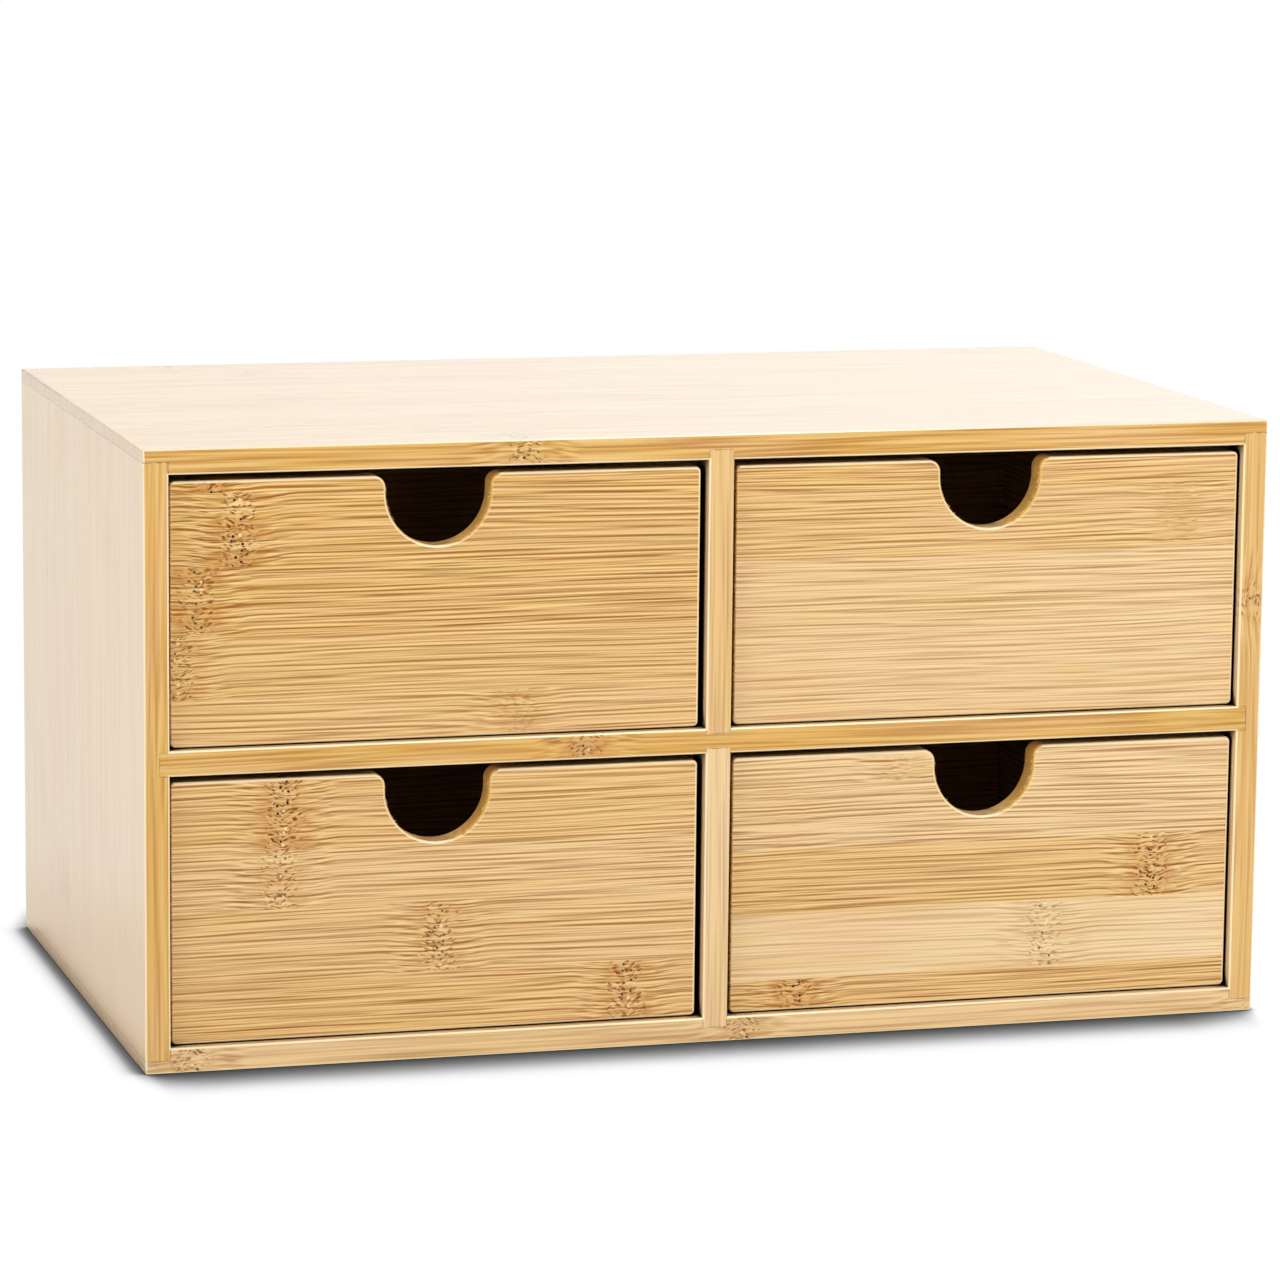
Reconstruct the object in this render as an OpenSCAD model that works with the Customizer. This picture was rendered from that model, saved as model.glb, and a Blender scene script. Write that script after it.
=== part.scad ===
// Desktop chest with four small drawers, glued up from bamboo board.
//
// Millimetres, +Z up. The drawers open towards -Y. The origin is the centre of
// the footprint, on the surface that the chest stands on.
//
// Every case board is a section in the XZ plane run from front to back. The
// eased edges are cut after that, from the glued case and from each glued
// drawer as a whole, the way they are sanded.

/* [Case] */
// Outside width of the case
case_w = 330; // [260:5:400]
// Outside depth of the case, front to back
case_d = 195; // [150:5:260]
// Outside height of the case
case_h = 175; // [140:5:220]
// Thickness of the case boards
board_t = 7.2; // [6:0.2:9]
// Thickness left outside the rabbets at the ends and rear of the case boards
rabbet_wall = 3.6; // [2.4:0.2:4.4]
// Depth to which the shelf is let into the sides
shelf_let = 3; // [1:0.5:4]
// Depth to which the dividers are let into the top and bottom panels
divider_let = 3; // [1:0.5:4]
// Depth to which each divider is let into the shelf
cross_let = 1.6; // [0.6:0.2:2.2]
// Thickness of the back panel
back_t = 4; // [3:0.5:6]
// Play round the edges of the back panel
back_gap = 0.2; // [0.1:0.1:0.5]
// Radius of the eased edges of the case
case_edge_r = 0.6; // [0.3:0.1:1.2]

/* [Drawers] */
// Thickness of the drawer fronts
front_t = 7.6; // [6:0.2:10]
// Distance of the drawer fronts behind the front of the case
front_recess = 2.8; // [0:0.2:6]
// Clearance on each side of a centred drawer
side_gap = 1.1; // [0.5:0.1:2]
// Clearance over a drawer
top_gap = 2.2; // [1:0.2:4]
// Clearance under a drawer
run_gap = 0.3; // [0.2:0.1:0.8]
// Clearance between a closed drawer and the back panel
stop_gap = 0.6; // [0.3:0.1:2]
// Where the left drawers lie within their side clearance, from -1 at the left to 1 at the right
left_rest = -0.45; // [-0.8:0.05:0.8]
// Where the right drawers lie within their side clearance
right_rest = 0.4; // [-0.8:0.05:0.8]
// Thickness of the drawer sides and backs
box_t = 5; // [4:0.5:7]
// Depth to which the drawer sides are let into the rabbets of the front
front_let = 3.6; // [2:0.2:5]
// Depth to which the drawer back is let into the rabbets of the sides
back_let = 2.6; // [1.4:0.2:3.2]
// Radius of the eased edges of the drawers
drawer_edge_r = 0.8; // [0.3:0.1:1.2]
// Radius of the four corners of the drawer fronts, seen from the front
front_corner_r = 1.4; // [1.3:0.1:3]

/* [Drawer bottoms] */
// Thickness of the drawer bottoms
base_t = 3; // [2:0.5:5]
// Height of the grooves over the lower edges of the drawer
base_up = 4; // [2:0.5:10]
// Depth of the grooves that hold the drawer bottom
groove_d = 2.4; // [1.2:0.2:2.8]
// Play round the edges of the drawer bottom in its grooves
base_gap = 0.3; // [0.1:0.1:0.6]
// Play over the drawer bottom in its grooves
base_lift = 0.2; // [0.1:0.1:0.5]

/* [Finger notches] */
// Radius of the round bottom of the finger notch
notch_r = 15; // [8:0.5:20]
// Depth of the finger notch below the upper edge of the front
notch_depth = 20; // [18:0.5:32]
// Radius of the shoulders where the notch meets the upper edge
shoulder_r = 3.5; // [1.5:0.5:5]

/* [Hidden] */
$fn = 48;

// Colours of the bamboo: faces, drawer fronts, and the plainer hidden boards
FACE = "#EEDCC2";
FRONT = "#E3BC86";
INSIDE = "#DDBB8A";

// Columns run from left to right and rows from bottom to top
LEFT = 0;
RIGHT = 1;
LOWER = 0;
UPPER = 1;

// Cutters run this far past the faces that they break through
over = 1;

// Planes of the case
side_x = case_w / 2;
front_y = -case_d / 2;
rear_y = case_d / 2;
back_y = rear_y - back_t;

// One bay, the clear opening for one drawer
bay_w = (case_w - 3 * board_t) / 2;
bay_h = (case_h - 3 * board_t) / 2;
function bay_x(column) = -side_x + board_t + column * (bay_w + board_t);
function bay_z(row) = board_t + row * (bay_h + board_t);

// The middle shelf and divider fill the gaps between the bays
shelf_z = bay_z(UPPER) - board_t;
divider_x = bay_x(RIGHT) - board_t;

// One drawer in its own frame: x = 0 is its middle, y = 0 its front face,
// z = 0 its lower edge
drawer_w = bay_w - 2 * side_gap;
drawer_h = bay_h - run_gap - top_gap;
drawer_l = back_y - stop_gap - (front_y + front_recess);
inner_x = drawer_w / 2 - box_t;
inner_y = drawer_l - box_t;
notch_z = drawer_h - notch_depth + notch_r;
function rest_shift(column) = side_gap * (column == LEFT ? left_rest : right_rest);

// ---- Flat sections ----

module rect(low, high) {
    translate(low) square(high - low);
}

module disc(centre, r) {
    translate(centre) circle(r);
}

// A rectangle with its four corners rounded
module eased_rect(low, high, r) {
    rect([low.x + r, low.y], [high.x - r, high.y]);
    rect([low.x, low.y + r], [high.x, high.y - r]);
    for (x = [low.x + r, high.x - r], y = [low.y + r, high.y - r])
        disc([x, y], r);
}

// The mouth of an opening from x0 to x1 in a face at y = 0, flaring towards -y
// over rounded edges
module flare(x0, x1, r) {
    difference() {
        rect([x0 - r, -over], [x1 + r, r]);
        disc([x0 - r, r], r);
        disc([x1 + r, r], r);
    }
}

// ---- Solids from sections ----

// A section in the XZ plane, run from y0 to y1
module along_y(y0, y1) {
    translate([0, y1, 0]) rotate([90, 0, 0]) linear_extrude(y1 - y0) children();
}

// A section in the YZ plane, run from x0 to x1
module along_x(x0, x1) {
    translate([x0, 0, 0]) rotate([90, 0, 90]) linear_extrude(x1 - x0) children();
}

// A section in the XY plane, run from z0 to z1
module along_z(z0, z1) {
    translate([0, 0, z0]) linear_extrude(z1 - z0) children();
}

module block(low, high) {
    translate(low) cube(high - low);
}

// A block with all its edges rounded
module eased_block(low, high, r) {
    intersection() {
        along_x(low.x, high.x) eased_rect([low.y, low.z], [high.y, high.z], r);
        along_y(low.y, high.y) eased_rect([low.x, low.z], [high.x, high.z], r);
        along_z(low.z, high.z) eased_rect([low.x, low.y], [high.x, high.y], r);
    }
}

// ---- Case ----

// The rounded mouth of one bay
module bay_mouth(column, row) {
    x0 = bay_x(column);
    x1 = x0 + bay_w;
    z0 = bay_z(row);
    z1 = z0 + bay_h;
    intersection() {
        along_z(z0 - board_t, z1 + board_t)
            translate([0, front_y]) flare(x0, x1, case_edge_r);
        along_x(x0 - board_t, x1 + board_t)
            translate([front_y, 0]) mirror([1, -1]) flare(z0, z1, case_edge_r);
    }
}

// The seat of the back panel, cut into the rear of the case boards
module back_seat() {
    block([-side_x + rabbet_wall, back_y, rabbet_wall],
          [side_x - rabbet_wall, rear_y + over, case_h - rabbet_wall]);
}

// A case board of the section given, trimmed as part of the glued case
module case_board() {
    color(FACE) difference() {
        intersection() {
            along_y(front_y, rear_y) children();
            eased_block([-side_x, front_y, 0], [side_x, rear_y, case_h], case_edge_r);
        }
        back_seat();
        for (column = [LEFT, RIGHT], row = [LOWER, UPPER])
            bay_mouth(column, row);
    }
}

// Section of the bottom panel: rabbets at the ends, a housing for the divider
module end_panel_section() {
    difference() {
        rect([-side_x, 0], [side_x, board_t]);
        for (x = [-side_x, side_x - board_t])
            rect([x - over, rabbet_wall], [x + board_t, board_t + over]);
        rect([divider_x, board_t - divider_let], [divider_x + board_t, board_t + over]);
    }
}

module bottom_panel() {
    case_board() end_panel_section();
}

module top_panel() {
    case_board() translate([0, case_h]) mirror([0, 1]) end_panel_section();
}

// Section of the left side: full thickness between the laps, a housing for the shelf
module side_section() {
    difference() {
        rect([-side_x, rabbet_wall], [-side_x + board_t, case_h - rabbet_wall]);
        rect([-side_x + board_t - shelf_let, shelf_z],
             [-side_x + board_t + over, shelf_z + board_t]);
    }
}

module left_side() {
    case_board() side_section();
}

module right_side() {
    case_board() mirror([1, 0]) side_section();
}

// The shelf runs through, with a shallow housing above and below for the dividers
module shelf() {
    end_x = side_x - board_t + shelf_let;
    case_board() difference() {
        rect([-end_x, shelf_z], [end_x, shelf_z + board_t]);
        for (z = [shelf_z - over, shelf_z + board_t - cross_let])
            rect([divider_x, z], [divider_x + board_t, z + cross_let + over]);
    }
}

module lower_divider() {
    case_board()
        rect([divider_x, board_t - divider_let], [divider_x + board_t, shelf_z + cross_let]);
}

module upper_divider() {
    case_board()
        rect([divider_x, shelf_z + board_t - cross_let],
             [divider_x + board_t, case_h - board_t + divider_let]);
}

module back_panel() {
    edge = rabbet_wall + back_gap;
    color(FACE)
        block([-side_x + edge, back_y, edge], [side_x - edge, rear_y, case_h - edge]);
}

// ---- Drawers ----

// Places a drawer, or one board of it, in its bay
module in_bay(column, row) {
    x = bay_x(column) + bay_w / 2 + rest_shift(column);
    translate([x, front_y + front_recess, bay_z(row) + run_gap]) children();
}

// The space that the grooves leave for the drawer bottom, shrunk by gap at its
// edges and by lift above it
module base_space(gap, lift) {
    x = inner_x + groove_d - gap;
    block([-x, front_t - groove_d + gap, base_up],
          [x, inner_y + groove_d - gap, base_up + base_t + base_lift - lift]);
}

// The rounded inner edge round the top of the drawer
module box_mouth() {
    intersection() {
        along_y(front_t - box_t, inner_y + box_t)
            translate([0, drawer_h]) mirror([0, 1]) flare(-inner_x, inner_x, drawer_edge_r);
        along_x(-inner_x - box_t, inner_x + box_t)
            translate([0, drawer_h]) mirror([0, 1]) flare(front_t, inner_y, drawer_edge_r);
    }
}

// A board of the drawer, trimmed as part of the glued drawer
module drawer_board(shade) {
    color(shade) difference() {
        intersection() {
            children();
            eased_block([-drawer_w / 2, 0, 0], [drawer_w / 2, drawer_l, drawer_h],
                        drawer_edge_r);
        }
        base_space(0, 0);
        box_mouth();
    }
}

// Half of the notch's section across the front, out from its middle: straight
// through the board, with both rims rounded
module notch_half_section() {
    rect([0, -over], [notch_r, front_t + over]);
    for (y = [0, front_t])
        translate([0, y]) mirror([0, y == 0 ? 0 : 1]) difference() {
            rect([0, -over], [notch_r + drawer_edge_r, drawer_edge_r]);
            disc([notch_r + drawer_edge_r, drawer_edge_r], drawer_edge_r);
        }
}

// What a rounded corner of a front takes off, with the corner at the origin and
// the board to its left and below: all but a disc with rounded rims
module off_corner(r) {
    difference() {
        block([-r, -over, -r], [over, front_t + over, over]);
        translate([-r, 0, -r]) rotate([-90, 0, 0]) rotate_extrude() intersection() {
            eased_rect([-r, 0], [r, front_t], drawer_edge_r);
            rect([0, 0], [r, front_t]);
        }
    }
}

// The finger notch: a round bottom, straight walls and rounded shoulders, with
// one rounded rim running through all three
module finger_notch() {
    translate([0, 0, notch_z]) rotate([-90, 0, 0]) rotate_extrude() notch_half_section();
    for (side = [0, 1]) mirror([side, 0, 0]) {
        along_z(notch_z, drawer_h + over) notch_half_section();
        translate([notch_r, 0, drawer_h]) mirror([1, 0, 0]) off_corner(shoulder_r);
    }
}

// What rounds off the four outer corners of the front
module outer_corners() {
    for (side = [0, 1], foot = [0, 1])
        mirror([side, 0, 0]) translate([drawer_w / 2, 0, foot ? 0 : drawer_h])
            mirror([0, 0, foot]) off_corner(front_corner_r);
}

module drawer_front() {
    difference() {
        drawer_board(FRONT) difference() {
            block([-drawer_w / 2, 0, 0], [drawer_w / 2, front_t, drawer_h]);
            for (side = [0, 1]) mirror([side, 0, 0])
                block([inner_x, front_t - front_let, -over],
                      [drawer_w / 2 + over, front_t + over, drawer_h + over]);
        }
        color(FRONT) {
            finger_notch();
            outer_corners();
        }
    }
}

module drawer_left_side() {
    drawer_board(INSIDE) difference() {
        block([-drawer_w / 2, front_t - front_let, 0], [-inner_x, drawer_l, drawer_h]);
        block([-inner_x - back_let, inner_y, -over],
              [-inner_x + over, drawer_l + over, drawer_h + over]);
    }
}

module drawer_right_side() {
    mirror([1, 0, 0]) drawer_left_side();
}

module drawer_back() {
    end_x = inner_x + back_let;
    drawer_board(INSIDE) block([-end_x, inner_y, 0], [end_x, drawer_l, drawer_h]);
}

module drawer_bottom() {
    color(INSIDE) base_space(base_gap, base_lift);
}

// ---- Nodes ----

top_panel();
bottom_panel();
left_side();
right_side();
shelf();
upper_divider();
lower_divider();
back_panel();

in_bay(LEFT, UPPER) drawer_front();  // upper_left_drawer_front
in_bay(LEFT, UPPER) drawer_left_side();  // upper_left_drawer_left_side
in_bay(LEFT, UPPER) drawer_right_side();  // upper_left_drawer_right_side
in_bay(LEFT, UPPER) drawer_back();  // upper_left_drawer_back
in_bay(LEFT, UPPER) drawer_bottom();  // upper_left_drawer_bottom

in_bay(RIGHT, UPPER) drawer_front();  // upper_right_drawer_front
in_bay(RIGHT, UPPER) drawer_left_side();  // upper_right_drawer_left_side
in_bay(RIGHT, UPPER) drawer_right_side();  // upper_right_drawer_right_side
in_bay(RIGHT, UPPER) drawer_back();  // upper_right_drawer_back
in_bay(RIGHT, UPPER) drawer_bottom();  // upper_right_drawer_bottom

in_bay(LEFT, LOWER) drawer_front();  // lower_left_drawer_front
in_bay(LEFT, LOWER) drawer_left_side();  // lower_left_drawer_left_side
in_bay(LEFT, LOWER) drawer_right_side();  // lower_left_drawer_right_side
in_bay(LEFT, LOWER) drawer_back();  // lower_left_drawer_back
in_bay(LEFT, LOWER) drawer_bottom();  // lower_left_drawer_bottom

in_bay(RIGHT, LOWER) drawer_front();  // lower_right_drawer_front
in_bay(RIGHT, LOWER) drawer_left_side();  // lower_right_drawer_left_side
in_bay(RIGHT, LOWER) drawer_right_side();  // lower_right_drawer_right_side
in_bay(RIGHT, LOWER) drawer_back();  // lower_right_drawer_back
in_bay(RIGHT, LOWER) drawer_bottom();  // lower_right_drawer_bottom
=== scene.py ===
import math
import random

import bmesh
import bpy
from mathutils import Matrix, Vector


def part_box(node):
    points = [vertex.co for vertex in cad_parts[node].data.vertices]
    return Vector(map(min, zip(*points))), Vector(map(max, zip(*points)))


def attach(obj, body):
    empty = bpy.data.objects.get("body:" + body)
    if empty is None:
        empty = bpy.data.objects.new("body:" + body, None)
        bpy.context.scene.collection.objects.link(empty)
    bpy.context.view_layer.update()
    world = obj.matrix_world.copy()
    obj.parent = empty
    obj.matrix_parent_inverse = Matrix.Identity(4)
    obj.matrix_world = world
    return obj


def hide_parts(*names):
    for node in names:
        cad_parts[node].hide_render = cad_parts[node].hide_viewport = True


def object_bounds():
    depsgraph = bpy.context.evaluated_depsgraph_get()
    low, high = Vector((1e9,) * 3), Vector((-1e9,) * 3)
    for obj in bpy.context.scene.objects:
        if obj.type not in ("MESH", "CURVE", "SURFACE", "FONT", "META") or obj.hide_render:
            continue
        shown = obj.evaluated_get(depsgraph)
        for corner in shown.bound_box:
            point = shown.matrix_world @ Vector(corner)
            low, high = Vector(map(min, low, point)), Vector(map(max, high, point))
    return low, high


bl_info = {
    "name": "Bamboo desk drawers",
    "version": (1, 0, 0),
    "blender": (4, 5, 0),
    "location": "3D View > Sidebar > Drawers",
    "description": "Finishes a chest of four small drawers in glued bamboo, and sets its stage",
    "category": "Object",
}

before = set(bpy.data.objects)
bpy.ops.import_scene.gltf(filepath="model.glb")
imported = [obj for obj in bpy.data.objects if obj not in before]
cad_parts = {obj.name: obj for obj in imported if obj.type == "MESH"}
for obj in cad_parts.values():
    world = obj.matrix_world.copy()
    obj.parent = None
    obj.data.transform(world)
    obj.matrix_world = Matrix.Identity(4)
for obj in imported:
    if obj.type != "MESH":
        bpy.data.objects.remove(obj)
CAD_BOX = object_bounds()

MM = 0.001  # metres in a millimetre

RIGHTWARDS = Vector((1, 0, 0))
BACKWARDS = Vector((0, 1, 0))
UPWARDS = Vector((0, 0, 1))

DRAWERS = [f"{row}_{column}_drawer" for row in ("upper", "lower") for column in ("left", "right")]

# ---- The boards ----
#
# Every board is glued up from strips of bamboo laid side by side. Its fibres run
# along the first axis, and its strips follow each other along the second.
LYING = (RIGHTWARDS, BACKWARDS)
STANDING = (UPWARDS, BACKWARDS)
FACING = (RIGHTWARDS, -UPWARDS)
BOX_SIDE = (BACKWARDS, -UPWARDS)

CASE_LAY = {
    "top_panel": LYING,
    "bottom_panel": LYING,
    "shelf": LYING,
    "left_side": STANDING,
    "right_side": STANDING,
    "upper_divider": STANDING,
    "lower_divider": STANDING,
    "back_panel": FACING,
}
BOX_LAY = {
    "front": FACING,
    "back": FACING,
    "left_side": BOX_SIDE,
    "right_side": BOX_SIDE,
    "bottom": LYING,
}

# How deep the two ends of a board are let into its neighbours, in mm
LET_IN = {
    "shelf": (3, 3),
    "left_side": (3.6, 3.6),
    "right_side": (3.6, 3.6),
    "upper_divider": (1.6, 3),
    "lower_divider": (3, 1.6),
}

# Strips picked for where they show, from the first edge of the board on. Each has
# the place of its far edge across the board and of its knuckle along it, in mm, and
# then from 0 to 1 how strongly the knuckle shows, how deep the colour of the strip
# is, and how streaked it is. A board that needs more strips than these draws the
# rest at random.
PICKED = {
    "upper_left_drawer_front": [
        (3.2, 10.8, 1, 0.86, 1),
        (24, 19, 1, 0.78, 1),
        (43, 8, 0.9, 0.78, 1),
        (61, 2, 0.8, 0.66, 0.84),
        (80, 99, 0.6, 0.57, 0.82),
    ],
    "upper_right_drawer_front": [
        (8, 200, 0, 0.7, 0.9),
        (27, 134, 0.45, 0.56, 0.85),
        (45, 210, 0, 0.34, 0.7),
        (80, 220, 0, 0.31, 0.6),
    ],
    "lower_left_drawer_front": [
        (20.5, 31.7, 1, 0.62, 0.9),
        (37, 31, 0.8, 0.46, 0.88),
        (57, 76.5, 0.85, 0.5, 0.88),
        (80, 131.5, 0.9, 0.62, 0.9),
    ],
    "lower_right_drawer_front": [
        (8.5, 50.5, 0.55, 0.28, 0.82),
        (27, 17, 0.25, 0.29, 0.82),
        (46, 128, 0.95, 0.6, 0.92),
        (65, 95.5, 0.8, 0.15, 0.38),
        (80, 20, 1, 0.6, 1),
    ],
    "top_panel": [(19.5, 108, 1, 0.2, 0.4)],
    "shelf": [(19.5, 122.3, 0.9, 0.3, 0.6)],
    "bottom_panel": [(19.5, 13, 0.9, 0.2, 0.5)],
    "right_side": [(19.5, 118.4, 0.8, 0.2, 0.5)],
    "upper_divider": [(19.5, 0, 0, 0.2, 0.5)],
    "lower_divider": [(19.5, 0, 0, 0.2, 0.5)],
    "left_side": [
        (19.5, 210, 0, 0.2, 0.1),
        (39, 30, 0.2, 0.17, 0.1),
        (58.5, 139, 0.4, 0.2, 0.1),
        (78, 56, 0.4, 0.17, 0.1),
        (97.5, 165, 0.3, 0.2, 0.14),
        (117, 98, 0.3, 0.18, 0.14),
        (136.5, 27, 0.5, 0.22, 0.16),
        (156, 120, 0.3, 0.18, 0.14),
        (175.5, 48, 0.4, 0.2, 0.14),
        (195, 149, 0.3, 0.18, 0.14),
    ],
}

# From one knuckle of a strip to the next, in mm, where it isn't the usual pitch
PITCH = {"bottom_panel": 160}

# How deep the colour of each case board is along its front edge, and how streaked it is
FRONT_EDGE = {
    "top_panel": (1, 0.6),
    "bottom_panel": (0.36, 0.45),
    "shelf": (1, 0.5),
    "left_side": (0.95, 0.4),
    "right_side": (0.8, 0.32),
    "upper_divider": (0.65, 0.38),
    "lower_divider": (0.32, 0.38),
    "back_panel": (0, 0.5),
}

# What the figure of the boards is drawn to, in mm
PORE_SPACING = 2.9  # between the pores of a knuckle
BUNDLE_SPACING = 0.9  # between the cut bundles of fibres on the end of a board
FURTHEST_KNUCKLE = 500  # from the start of a board, further than any knuckle is picked or drawn
NEXT_IN_CANE = (900, 300, 300)  # from one strip's place in its cane to another's, at the most

# How far behind the front of the case the painted shade in a gap beside a drawer reaches, in mm: in
# full as far as it shows from outside, and then fading out
GAP_DARK = 11
GAP_LIGHT = 14


# ---- Colours and nodes ----


def linear(code):
    """The linear colour, with alpha, of an sRGB hex code."""
    channels = [int(code[i : i + 2], 16) / 255 for i in (1, 3, 5)]
    return [c / 12.92 if c <= 0.04045 else ((c + 0.055) / 1.055) ** 2.4 for c in channels] + [1]


def add(tree, kind, inputs=None, stops=(), **settings):
    """Adds a node with its settings, inputs and the stops of its colour ramp, each as (place, colour).

    An input takes a value, a socket, or a node for its first output. Most go by their
    number: a Map Range turns its value, 0, from the range 1 to 2 into the range 3 to 4,
    and a Mix goes from colour 6 to colour 7 as its share, 0, rises.
    """
    node = tree.nodes.new(kind)
    for name, value in settings.items():
        setattr(node, name, value)
    for key, value in (inputs or {}).items():
        if isinstance(value, bpy.types.Node):
            value = value.outputs[0]
        if isinstance(value, bpy.types.NodeSocket):
            tree.links.new(value, node.inputs[key])
        else:
            node.inputs[key].default_value = value
    for i, (place, colour) in enumerate(stops):
        elements = node.color_ramp.elements
        stop = elements[i] if i < len(elements) else elements.new(1)
        stop.position = place
        stop.color = colour
    return node


def blank_material(name):
    """A new material, with its node tree emptied."""
    material = bpy.data.materials.new(name)
    material.use_nodes = True
    material.node_tree.nodes.clear()
    return material, material.node_tree


# ---- Settings ----


class BambooSettings(bpy.types.PropertyGroup):
    """How the boards are glued up and finished."""

    strip_width: bpy.props.FloatProperty(
        name="Strip width", description="Width of one strip of bamboo in a board",
        default=19.5 * MM, min=5 * MM, max=60 * MM, unit="LENGTH", subtype="DISTANCE", precision=4,
    )
    knuckle_pitch: bpy.props.FloatProperty(
        name="Knuckle pitch", description="Distance from one knuckle of a strip to the next",
        default=260 * MM, min=100 * MM, max=600 * MM, unit="LENGTH", subtype="DISTANCE", precision=4,
    )
    pale: bpy.props.FloatVectorProperty(
        name="Palest strips", description="Colour of the palest strips of bamboo",
        default=linear("#F4DAB0"), size=4, min=0, max=1, subtype="COLOR",
    )
    deep: bpy.props.FloatVectorProperty(
        name="Deepest strips", description="Colour of the deepest strips of bamboo",
        default=linear("#DAA440"), size=4, min=0, max=1, subtype="COLOR",
    )
    dark_fibres: bpy.props.FloatVectorProperty(
        name="Dark fibres", description="Colour of the darker streaks along the strips",
        default=linear("#985810"), size=4, min=0, max=1, subtype="COLOR",
    )
    pale_fibres: bpy.props.FloatVectorProperty(
        name="Pale fibres", description="Colour of the paler streaks along the strips",
        default=linear("#FADCA0"), size=4, min=0, max=1, subtype="COLOR",
    )
    # Laid on eased edges, this colour also stands as their painted highlight
    sanded: bpy.props.FloatVectorProperty(
        name="Sanded edges", description="Colour of the wood laid bare where edges are sanded round",
        default=linear("#FFF0C8"), size=4, min=0, max=1, subtype="COLOR",
    )
    end_grain: bpy.props.FloatVectorProperty(
        name="End grain", description="Colour of the cut ends of the fibres",
        default=linear("#96601F"), size=4, min=0, max=1, subtype="COLOR",
    )


class NotchSettings(bpy.types.PropertyGroup):
    """The finger notches as they are cut, and the fibres that stand up where the cutter went through."""

    radius: bpy.props.FloatProperty(
        name="Radius", description="Radius of the round bottom of a notch",
        default=15 * MM, min=8 * MM, max=20 * MM, unit="LENGTH", subtype="DISTANCE", precision=4,
    )
    depth: bpy.props.FloatProperty(
        name="Depth", description="Depth of a notch below the upper edge of its front",
        default=20 * MM, min=18 * MM, max=32 * MM, unit="LENGTH", subtype="DISTANCE", precision=4,
    )
    spacing: bpy.props.FloatProperty(
        name="Fibre spacing", description="Height from one standing fibre to the next",
        default=0.62 * MM, min=0.2 * MM, max=5 * MM, unit="LENGTH", subtype="DISTANCE", precision=4,
    )
    length: bpy.props.FloatProperty(
        name="Fibre length", description="How far the longest fibres stand out",
        default=0.75 * MM, min=0.1 * MM, max=3 * MM, unit="LENGTH", subtype="DISTANCE", precision=4,
    )
    # A torn fibre is really about 0.1 mm thick, and is drawn thicker so that it shows
    thickness: bpy.props.FloatProperty(
        name="Fibre thickness", description="Thickness of a fibre at its root",
        default=0.34 * MM, min=0.05 * MM, max=1 * MM, unit="LENGTH", subtype="DISTANCE", precision=4,
    )


class StageSettings(bpy.types.PropertyGroup):
    """The floor, the light and the camera."""

    floor_size: bpy.props.FloatProperty(
        name="Floor size", description="Length of each side of the floor",
        default=8, min=2, max=40, unit="LENGTH", subtype="DISTANCE",
    )
    floor_colour: bpy.props.FloatVectorProperty(
        name="Floor", description="Colour of the paper on the floor, as it lights the chest",
        default=linear("#EAEAEA"), size=4, min=0, max=1, subtype="COLOR",
    )


# ---- Bamboo ----


def knuckle_reach(tree, given):
    """How the fibres swerve at a knuckle, how far off it is, and how strongly each of its effects shows."""
    place, strength = given["Place"], given["Strength"]
    # They turn anew every 5 mm along the strip and every 2.2 mm across it
    quick = add(tree, "ShaderNodeVectorMath", {0: place, 1: (1 / 5, 1 / 2.2, 1 / 2.2)}, operation="MULTIPLY")
    swerve = add(tree, "ShaderNodeTexNoise", {"Vector": quick, "Scale": 1, "Detail": 1}).outputs["Color"]
    swerve = add(tree, "ShaderNodeVectorMath", {0: swerve, 1: (0.5, 0.5, 0.5)}, operation="SUBTRACT")
    ragged = add(tree, "ShaderNodeSeparateXYZ", {0: swerve}).outputs[0]
    away = add(tree, "ShaderNodeMath", {0: given["Knuckle"]}, operation="ABSOLUTE")

    # The knuckle itself, some 10 mm long and ragged
    spread = add(tree, "ShaderNodeMath", {0: ragged, 1: 9, 2: away}, operation="MULTIPLY_ADD")
    near = add(tree, "ShaderNodeMapRange", {0: spread, 1: 5.8, 2: 3.6}, interpolation_type="SMOOTHSTEP")
    near = add(tree, "ShaderNodeMath", {0: near, 1: strength}, operation="MULTIPLY")
    # Only a strong one is broken through to its pores; a faint one just sways the fibres
    broken = add(tree, "ShaderNodeMapRange", {0: strength, 1: 0.5, 2: 0.75})
    broken = add(tree, "ShaderNodeMath", {0: broken, 1: near}, operation="MULTIPLY")
    # Its brown stain reaches a little further along the fibres than it does
    stained = add(
        tree, "ShaderNodeMapRange", {0: spread, 1: 10, 2: 4, 4: strength}, interpolation_type="SMOOTHSTEP",
    )
    stained = add(tree, "ShaderNodeMath", {0: stained, 1: given["Depth"]}, operation="MULTIPLY")
    # The stretch where fibres part round it
    wide = add(tree, "ShaderNodeMapRange", {0: away, 1: 18, 2: 4}, interpolation_type="SMOOTHSTEP")
    wide = add(tree, "ShaderNodeMath", {0: wide, 1: strength}, operation="MULTIPLY")
    return swerve, away, near, broken, stained, wide


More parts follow.
